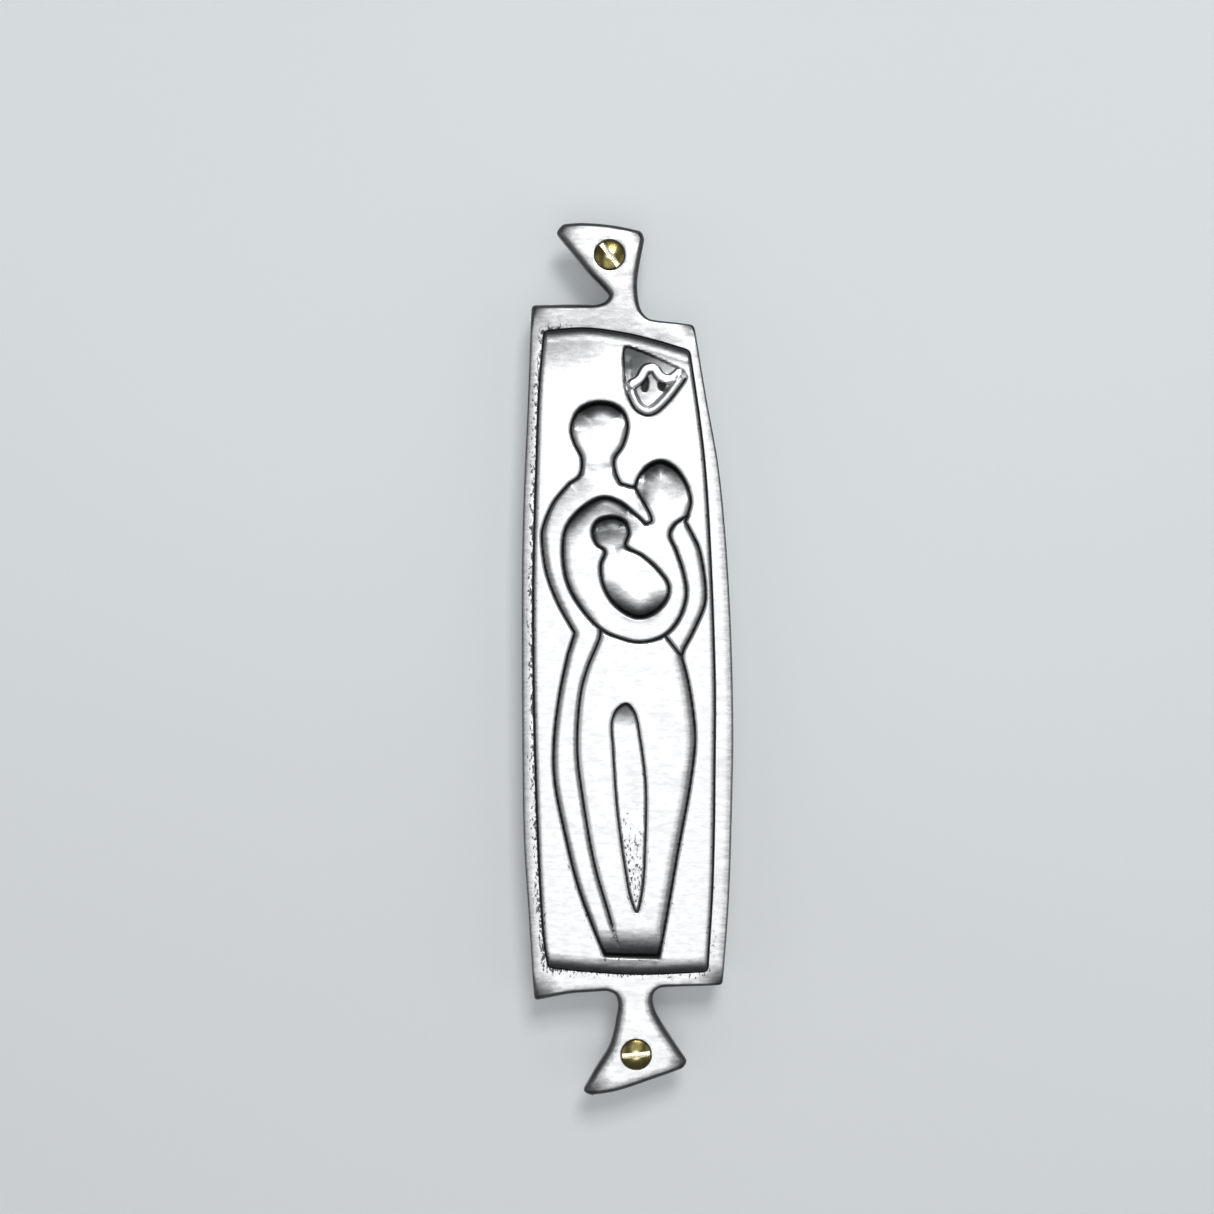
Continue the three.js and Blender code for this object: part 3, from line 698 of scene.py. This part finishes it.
def makeScrew(name, s, body, node):
    spot = middle(screwSpots[name])
    bm = bmesh.new()
    front = tabFront + s["dome"]
    neck = tabFront - s["rim"] - (s["headRadius"] - s["shankRadius"])
    threadTop = neck - s["shank"]
    tip = tabFront - s["length"] + 0.05
    profile = [(0, front)]
    for k in range(1, 9):
        share = k / 8
        profile.append((s["headRadius"] * share - 0.06 * (k == 8), tabFront + s["dome"] * (1 - share ** 1.7)))
    profile += [(s["headRadius"], tabFront - 0.05), (s["headRadius"], tabFront - s["rim"] + 0.05),
                (s["headRadius"] - 0.08, tabFront - s["rim"] - 0.08), (s["shankRadius"] + 0.06, neck + 0.06),
                (s["shankRadius"], neck - 0.06), (s["shankRadius"], threadTop + 0.5)]
    depth = threadTop + 0.4
    while depth > tip + 0.05:
        profile.append((s["coreRadius"], depth))
        depth -= 0.09
    profile.append((0, tip))
    verts = [bm.verts.new((spot.x + r * mm, -d * mm, spot.z)) for r, d in profile]
    edges = [bm.edges.new(pair) for pair in zip(verts, verts[1:])]
    bmesh.ops.spin(bm, geom=verts + edges, cent=(spot.x, 0, spot.z), axis=(0, 1, 0), angle=math.tau,
                   steps=s["steps"], use_merge=True)
    bmesh.ops.remove_doubles(bm, verts=bm.verts, dist=2e-7)
    bmesh.ops.recalc_face_normals(bm, faces=bm.faces)
    # the thread's ridge climbs one pitch for each turn
    for v in bm.verts:
        d = -v.co.y / mm
        if d > threadTop + 0.45 or d < tip + 0.04:
            continue
        around = math.atan2(v.co.z - spot.z, v.co.x - spot.x) / math.tau
        phase = (d / s["pitch"] + around) % 1
        ridge = max(0, 1 - abs(phase - 0.5) / 0.5 - s["crest"]) / (1 - s["crest"])
        fadeTop = min(1, max(0, (threadTop + 0.45 - d) / 0.7))
        point = min(1, (d - tip) / s["tip"])
        base = s["shankRadius"] + (s["coreRadius"] - s["shankRadius"]) * fadeTop
        radius = (base + (s["shankRadius"] - s["coreRadius"]) * ridge * fadeTop) * point ** 0.75
        flat = Vector((v.co.x - spot.x, 0, v.co.z - spot.z))
        if flat.length > 1e-6:
            flat = flat.normalized() * radius * mm
            v.co.x, v.co.z = spot.x + flat.x, spot.z + flat.z
    slot = bmesh.new()
    bmesh.ops.create_cube(slot, size=1)
    bmesh.ops.scale(slot, verts=slot.verts,
                    vec=(3 * s["headRadius"] * mm, 2 * s["slotDepth"] * mm, s["slotWidth"] * mm))
    bmesh.ops.rotate(slot, verts=slot.verts, matrix=Matrix.Rotation(math.radians(-slotAngles[name]), 3, "Y"))
    bmesh.ops.translate(slot, verts=slot.verts, vec=(spot.x, -front * mm, spot.z))
    obj = meshObject(name + "Screw", combine(bm, [("DIFFERENCE", slot)]), body)
    smoothFaces(obj.data, 40)
    co = np.empty(len(obj.data.vertices) * 3)
    obj.data.vertices.foreach_get("co", co)
    co = co.reshape(-1, 3) / mm
    out = np.hypot(co[:, 0] - spot.x / mm, co[:, 2] - spot.z / mm)
    onDome = (-co[:, 1] > tabFront + 0.3) & (out < 1.0)
    inSlot = (np.abs(-co[:, 1] - (front - s["slotDepth"])) < 0.02) & (out < 3)
    # painted highlight: the slot floor and the middle of the dome get a bright colour, standing in for the light's
    # reflection
    setAttribute(obj.data, "paintedShading", np.where(inSlot, 1.0, np.where(onDome, 0.7, 0)))
    bevel = obj.modifiers.new("worn", "BEVEL")
    bevel.width = 0.07 * mm
    bevel.segments = 2
    bevel.limit_method = "ANGLE"
    bevel.angle_limit = math.radians(55)
    bevel.harden_normals = True
    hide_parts(node)
    return obj


scrollSet = {"radius": 3.4, "bore": 1.3, "pitch": 0.4, "thick": 0.25, "steps": 44, "rows": 50, "wander": 0.04}
sleeveSet = {"wall": 0.25, "steps": 64, "round": 0.06}


def makeScroll(s):
    low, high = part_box("scroll_parchment")
    turns = (s["radius"] - s["thick"] - s["bore"]) / s["pitch"]
    bm = bmesh.new()
    height = (high.z - low.z) / mm - 0.1
    column = [bm.verts.new((s["bore"] * mm, 0, (k / s["rows"] - 0.5) * height * mm)) for k in range(s["rows"] + 1)]
    edges = [bm.edges.new(pair) for pair in zip(column, column[1:])]
    radius = s["bore"]
    count = int(turns * s["steps"])
    for k in range(count):
        grown = bmesh.ops.extrude_edge_only(bm, edges=edges)
        edges = [g for g in grown["geom"] if isinstance(g, bmesh.types.BMEdge)]
        moving = [g for g in grown["geom"] if isinstance(g, bmesh.types.BMVert)]
        bmesh.ops.rotate(bm, verts=moving, cent=(0, 0, 0), matrix=Matrix.Rotation(math.tau / s["steps"], 3, "Z"))
        wider = (radius + s["pitch"] / s["steps"]) / radius
        radius *= wider
        bmesh.ops.scale(bm, verts=moving, vec=(wider, wider, 1))
    for v in bm.verts:
        flat = Vector((v.co.x, v.co.y, 0))
        lift = s["wander"] * mm * noise.noise(Vector((flat.x * 200, flat.y * 200, v.co.z * 40)))
        v.co += flat.normalized() * (lift - 0.02 * mm)
    bmesh.ops.recalc_face_normals(bm, faces=bm.faces)
    bmesh.ops.solidify(bm, geom=bm.faces[:], thickness=-(s["thick"] - 0.05) * mm)
    bmesh.ops.recalc_face_normals(bm, faces=bm.faces)
    bmesh.ops.translate(bm, verts=bm.verts, vec=(0, -scrollDepth * mm, 0))
    obj = meshObject("rolledScroll", bm, "scroll")
    smoothFaces(obj.data, 50)
    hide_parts("scroll_parchment")
    return obj


def makeSleeve(s):
    low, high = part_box("scroll_sleeve")
    center = middle((low, high))
    outer = (high.x - low.x) / 2 / mm - 0.01
    inner = outer - s["wall"]
    half = (high.z - low.z) / 2 / mm - 0.01
    r = s["round"]
    ring = [(inner, -half + r), (inner + r, -half), (outer - r, -half), (outer, -half + r)]
    rise = [(outer, z) for z in np.linspace(-half + 4, half - 4, 12)]
    ring += rise + [(outer, half - r), (outer - r, half), (inner + r, half), (inner, half - r)]
    ring += [(inner, z) for _, z in reversed(rise)]
    bm = bmesh.new()
    verts = [bm.verts.new((center.x + x * mm, center.y, center.z + z * mm)) for x, z in ring]
    edges = [bm.edges.new((verts[k], verts[(k + 1) % len(verts)])) for k in range(len(verts))]
    bmesh.ops.spin(bm, geom=verts + edges, cent=center, axis=(0, 0, 1), angle=math.tau, steps=s["steps"],
                   use_merge=True)
    bmesh.ops.remove_doubles(bm, verts=bm.verts, dist=2e-7)
    bmesh.ops.recalc_face_normals(bm, faces=bm.faces)
    obj = meshObject("clearSleeve", bm, "scroll")
    smoothFaces(obj.data, 50)
    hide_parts("scroll_sleeve")
    return obj


# an empty material with a Principled shader, to be wired by hand
def newMaterial(name):
    material = bpy.data.materials.new(name)
    material.use_nodes = True
    tree = material.node_tree
    tree.nodes.clear()
    out = tree.nodes.new("ShaderNodeOutputMaterial")
    shader = tree.nodes.new("ShaderNodeBsdfPrincipled")
    tree.links.new(shader.outputs["BSDF"], out.inputs["Surface"])
    return material, tree, shader


def addNode(tree, kind, values=None, **links):
    node = tree.nodes.new("ShaderNode" + kind)
    for key, value in (values or {}).items():
        if isinstance(key, int) or key in node.inputs:
            node.inputs[key].default_value = value
        else:
            setattr(node, key, value)
    for key, source in links.items():
        tree.links.new(source, node.inputs[key])
    return node


def mathNode(tree, operation, a, b=None, clamp=False):
    node = tree.nodes.new("ShaderNodeMath")
    node.operation = operation
    node.use_clamp = clamp
    for socket, value in ((0, a), (1, b)):
        if value is None:
            continue
        if isinstance(value, (int, float)):
            node.inputs[socket].default_value = value
        else:
            tree.links.new(value, node.inputs[socket])
    return node.outputs[0]


def noiseNode(tree, vector, scale, detail=2.0, rough=0.5):
    node = addNode(tree, "TexNoise", {"Scale": scale, "Detail": detail, "Roughness": rough})
    tree.links.new(vector, node.inputs["Vector"])
    return node.outputs["Fac"]


def ramp(tree, value, low, high, fromValue=0.0, toValue=1.0):
    node = addNode(tree, "MapRange", {"interpolation_type": "SMOOTHSTEP", "From Min": low, "From Max": high,
                                      "To Min": fromValue, "To Max": toValue})
    tree.links.new(value, node.inputs["Value"])
    return node.outputs["Result"]


def mixColor(tree, share, a, b):
    node = tree.nodes.new("ShaderNodeMix")
    node.data_type = "RGBA"
    tree.links.new(share, node.inputs[0])
    for socket, value in ((6, a), (7, b)):
        if isinstance(value, tuple):
            node.inputs[socket].default_value = value
        else:
            tree.links.new(value, node.inputs[socket])
    return node.outputs[2]


# the dark grey third colour is what the painted shade darkens the metal to; the near-black last one is the patina in
# the creases and pits
castLook = {
    "bright": (0.87, 0.875, 0.88, 1), "worn": (0.74, 0.745, 0.75, 1), "darkTone": (0.066, 0.073, 0.072, 1),
    "dark": (0.02, 0.02, 0.019, 1), "grain": 5200, "mottle": 1500, "pitScale": 2300,
}


def makeCastAluminium(s):
    material, tree, shader = newMaterial("castAluminium")
    where = addNode(tree, "TexCoord").outputs["Object"]
    patina = addNode(tree, "Attribute", {"attribute_name": "patina"}).outputs["Fac"]
    pitting = addNode(tree, "Attribute", {"attribute_name": "pitting"}).outputs["Fac"]
    shade = addNode(tree, "Attribute", {"attribute_name": "shade"}).outputs["Fac"]
    brushed = addNode(tree, "Mapping", {"Scale": (0.3, 1, 1)}, Vector=where).outputs["Vector"]
    mottle = noiseNode(tree, brushed, s["mottle"], 5, 0.65)
    ragged = noiseNode(tree, where, 2600, 3, 0.65)
    grain = noiseNode(tree, where, s["grain"], 3, 0.6)
    stretch = addNode(tree, "Mapping", {"Scale": (1, 1, 0.55)}, Vector=where).outputs["Vector"]
    speck = noiseNode(tree, stretch, s["pitScale"], 3, 0.6)

    # dark matter stays in the creases and the pits, and the polished high parts are bright; painted shade from the
    # shade attribute darkens the slopes, rims and head tops
    jitter = mathNode(tree, "MULTIPLY", mathNode(tree, "SUBTRACT", ragged, 0.5), 0.5)
    settled = ramp(tree, mathNode(tree, "ADD", patina, jitter), 0.35, 0.7)
    settled = mathNode(tree, "MULTIPLY", settled, ramp(tree, patina, 0.02, 0.2))
    dots = ramp(tree, mathNode(tree, "ADD", speck, mathNode(tree, "MULTIPLY", pitting, 0.22)), 0.66, 0.72)
    dots = mathNode(tree, "MULTIPLY", dots, ramp(tree, pitting, 0.02, 0.15))
    dark = mathNode(tree, "MAXIMUM", mathNode(tree, "MULTIPLY", settled, 0.97), mathNode(tree, "MULTIPLY", dots, 0.85))
    uneven = mathNode(tree, "ADD", mathNode(tree, "MULTIPLY", grain, 0.5), mathNode(tree, "MULTIPLY", mottle, 0.6))
    # painted shade: the shade attribute, broken up by grain and mottle, mixes the base toward the dark grey colour
    paintedShading = mathNode(tree, "ADD", shade, mathNode(tree, "MULTIPLY", mathNode(tree, "SUBTRACT", uneven, 0.55), 0.55))
    paintedShading = mathNode(tree, "POWER", mathNode(tree, "SUBTRACT", 1.0, paintedShading, clamp=True), 2.3)
    paintedShading = mathNode(tree, "MULTIPLY", mathNode(tree, "SUBTRACT", 1.0, paintedShading), ramp(tree, shade, 0.0, 0.15))
    base = mixColor(tree, ramp(tree, mottle, 0.35, 0.7), s["bright"], s["worn"])
    base = mixColor(tree, paintedShading, base, s["darkTone"])
    tree.links.new(mixColor(tree, dark, base, s["dark"]), shader.inputs["Base Color"])
    tree.links.new(mathNode(tree, "SUBTRACT", 1.0, mathNode(tree, "MULTIPLY", dark, 0.7)), shader.inputs["Metallic"])
    rough = mathNode(tree, "ADD", ramp(tree, mottle, 0.3, 0.75, 0.34, 0.4), mathNode(tree, "MULTIPLY", dark, 0.3))
    tree.links.new(rough, shader.inputs["Roughness"])

    height = mathNode(tree, "ADD", mathNode(tree, "MULTIPLY", grain, 0.3), mathNode(tree, "MULTIPLY", ragged, 0.15))
    height = mathNode(tree, "SUBTRACT", height, mathNode(tree, "MULTIPLY", dots, 1.0))
    bump = addNode(tree, "Bump", {"Strength": 0.35, "Distance": 0.00006}, Height=height)
    tree.links.new(bump.outputs["Normal"], shader.inputs["Normal"])
    return material


sheetLook = {"color": (0.72, 0.73, 0.74, 1), "streak": (0.6, 0.61, 0.62, 1)}


def makeSheetAluminium(s):
    material, tree, shader = newMaterial("sheetAluminium")
    where = addNode(tree, "TexCoord").outputs["Object"]
    stretch = addNode(tree, "Mapping", {"Scale": (9000, 9000, 120)}, Vector=where).outputs["Vector"]
    streaks = noiseNode(tree, stretch, 1, 3, 0.6)
    blotch = noiseNode(tree, where, 160, 3)
    tint = mixColor(tree, ramp(tree, streaks, 0.35, 0.7), s["color"], s["streak"])
    tree.links.new(tint, shader.inputs["Base Color"])
    shader.inputs["Metallic"].default_value = 1
    rough = mathNode(tree, "ADD", ramp(tree, streaks, 0.3, 0.7, 0.32, 0.46), ramp(tree, blotch, 0.4, 0.75, 0.0, 0.1))
    tree.links.new(rough, shader.inputs["Roughness"])
    bump = addNode(tree, "Bump", {"Strength": 0.3, "Distance": 0.00002}, Height=streaks)
    tree.links.new(bump.outputs["Normal"], shader.inputs["Normal"])
    return material


# the bright third colour is the painted highlight on the slot floors and dome centres
brassLook = {
    "color": (0.29, 0.245, 0.09, 1), "dull": (0.17, 0.145, 0.06, 1), "paintedShading": (0.95, 0.9, 0.7, 1),
}


def makeBrass(s):
    material, tree, shader = newMaterial("wornBrass")
    where = addNode(tree, "TexCoord").outputs["Object"]
    paintedShading = addNode(tree, "Attribute", {"attribute_name": "paintedShading"}).outputs["Fac"]
    # random tarnish over the brass, between its colour and the dull one
    darkTone = noiseNode(tree, where, 900, 4, 0.6)
    turned = noiseNode(tree, where, 7000, 2, 0.5)
    base = mixColor(tree, ramp(tree, darkTone, 0.38, 0.68), s["color"], s["dull"])
    # painted highlight: the screws' attribute mixes that bright colour in
    tree.links.new(mixColor(tree, paintedShading, base, s["paintedShading"]), shader.inputs["Base Color"])
    shader.inputs["Metallic"].default_value = 1
    rough = mathNode(tree, "ADD", ramp(tree, darkTone, 0.35, 0.7, 0.16, 0.26), mathNode(tree, "MULTIPLY", turned, 0.05))
    tree.links.new(rough, shader.inputs["Roughness"])
    bump = addNode(tree, "Bump", {"Strength": 0.2, "Distance": 0.00004}, Height=turned)
    tree.links.new(bump.outputs["Normal"], shader.inputs["Normal"])
    return material


parchmentLook = {"pale": (0.78, 0.69, 0.51, 1), "deep": (0.62, 0.5, 0.32, 1)}


def makeParchment(s):
    material, tree, shader = newMaterial("scrapedParchment")
    where = addNode(tree, "TexCoord").outputs["Object"]
    cloud = noiseNode(tree, where, 140, 5, 0.6)
    pores = noiseNode(tree, where, 5200, 2, 0.5)
    tone = mathNode(tree, "ADD", mathNode(tree, "MULTIPLY", cloud, 0.8), mathNode(tree, "MULTIPLY", pores, 0.2))
    tree.links.new(mixColor(tree, ramp(tree, tone, 0.36, 0.66), s["pale"], s["deep"]), shader.inputs["Base Color"])
    tree.links.new(ramp(tree, cloud, 0.3, 0.7, 0.55, 0.75), shader.inputs["Roughness"])
    shader.inputs["Subsurface Weight"].default_value = 0.12
    shader.inputs["Subsurface Scale"].default_value = 0.0004
    bump = addNode(tree, "Bump", {"Strength": 0.3, "Distance": 0.00004}, Height=pores)
    tree.links.new(bump.outputs["Normal"], shader.inputs["Normal"])
    return material


def makeClearPlastic():
    material, tree, shader = newMaterial("clearPlastic")
    where = addNode(tree, "TexCoord").outputs["Object"]
    haze = noiseNode(tree, where, 700, 3, 0.6)
    shader.inputs["Base Color"].default_value = (0.95, 0.97, 0.98, 1)
    shader.inputs["Transmission Weight"].default_value = 1
    shader.inputs["IOR"].default_value = 1.49
    tree.links.new(ramp(tree, haze, 0.4, 0.75, 0.04, 0.16), shader.inputs["Roughness"])
    bump = addNode(tree, "Bump", {"Strength": 0.15, "Distance": 0.00003}, Height=haze)
    tree.links.new(bump.outputs["Normal"], shader.inputs["Normal"])
    return material


castAluminium = makeCastAluminium(castLook)
castBorder = makeBorder(border)
print("border made", len(castBorder.data.polygons))
castPanel = makePanel(panel)
print("panel made", len(castPanel.data.polygons))
for obj in (castBorder, castPanel):
    obj.data.materials.append(castAluminium)
plateCover = makePlate(plateSet)
plateCover.data.materials.append(makeSheetAluminium(sheetLook))
brass = makeBrass(brassLook)
for obj in (makeScrew("top", screwSet, "upper_screw", "top_screw"),
            makeScrew("bottom", screwSet, "lower_screw", "bottom_screw")):
    obj.data.materials.append(brass)
makeScroll(scrollSet).data.materials.append(makeParchment(parchmentLook))
makeSleeve(sleeveSet).data.materials.append(makeClearPlastic())
print("plate, screws and scroll made")


backdropSet = {
    "size": 6.0, "gap": 0.0002, "color": (0.82, 0.86, 0.875, 1), "shade": (0.79, 0.82, 0.83, 1), "glow": 0.04,
    "contact": 0.0008,
}


def makeBackdrop(s):
    bm = bmesh.new()
    bmesh.ops.create_grid(bm, x_segments=2, y_segments=2, size=s["size"] / 2)
    bmesh.ops.rotate(bm, verts=bm.verts, matrix=Matrix.Rotation(math.radians(90), 3, "X"))
    bmesh.ops.translate(bm, verts=bm.verts, vec=(0, s["gap"], 0))
    mesh = bpy.data.meshes.new("backdrop")
    bm.to_mesh(mesh)
    bm.free()
    obj = bpy.data.objects.new("backdrop", mesh)
    bpy.context.scene.collection.objects.link(obj)
    material, tree, shader = newMaterial("backdropCard")
    where = addNode(tree, "TexCoord").outputs["Object"]
    tree.links.new(mixColor(tree, ramp(tree, noiseNode(tree, where, 3, 2), 0.35, 0.65), s["color"], s["shade"]),
                   shader.inputs["Base Color"])
    shader.inputs["Roughness"].default_value = 0.9
    shader.inputs["Emission Color"].default_value = s["color"]
    shader.inputs["Emission Strength"].default_value = s["glow"]
    out = next(n for n in tree.nodes if n.type == "OUTPUT_MATERIAL")
    clear = tree.nodes.new("ShaderNodeBsdfTransparent")
    pick = tree.nodes.new("ShaderNodeMixShader")
    facing = tree.nodes.new("ShaderNodeNewGeometry")
    rays = tree.nodes.new("ShaderNodeLightPath")
    near = mathNode(tree, "LESS_THAN", rays.outputs["Ray Length"], s["contact"])  # so that the part's back is lit
    tree.links.new(mathNode(tree, "MAXIMUM", facing.outputs["Backfacing"], near), pick.inputs[0])
    tree.links.new(shader.outputs["BSDF"], pick.inputs[1])
    tree.links.new(clear.outputs["BSDF"], pick.inputs[2])
    tree.links.new(pick.outputs["Shader"], out.inputs["Surface"])
    mesh.materials.append(material)


def addLight(name, direction, distance, size, power, color=(1, 1, 1), target=(0, 0, 0), sizeY=None):
    data = bpy.data.lights.new(name, "AREA")
    data.shape = "RECTANGLE"
    data.size = size
    data.size_y = sizeY or size
    data.energy = power
    data.color = color
    obj = bpy.data.objects.new(name, data)
    bpy.context.scene.collection.objects.link(obj)
    aim = Vector(direction).normalized()
    obj.location = Vector(target) + aim * distance
    obj.rotation_euler = aim.to_track_quat("Z", "Y").to_euler()


makeBackdrop(backdropSet)
addLight("key", (0.12, -0.85, 0.53), 0.9, 0.3, 3.2)
addLight("fill", (0, -1, -0.2), 0.8, 0.5, 1.55, sizeY=0.75)
addLight("left", (-0.8, -0.6, -0.15), 1.0, 0.8, 0.9)
addLight("right", (0.8, -0.6, -0.15), 1.0, 0.8, 0.9)
addLight("behind", (0.6, 1, 0.5), 0.9, 0.6, 6)
world = bpy.data.worlds.new("room")
world.use_nodes = True
world.node_tree.nodes["Background"].inputs["Color"].default_value = (0.6, 0.63, 0.66, 1)
world.node_tree.nodes["Background"].inputs["Strength"].default_value = 0.26
bpy.context.scene.world = world
bpy.context.scene.view_settings.view_transform = "Standard"
print("scene lit")
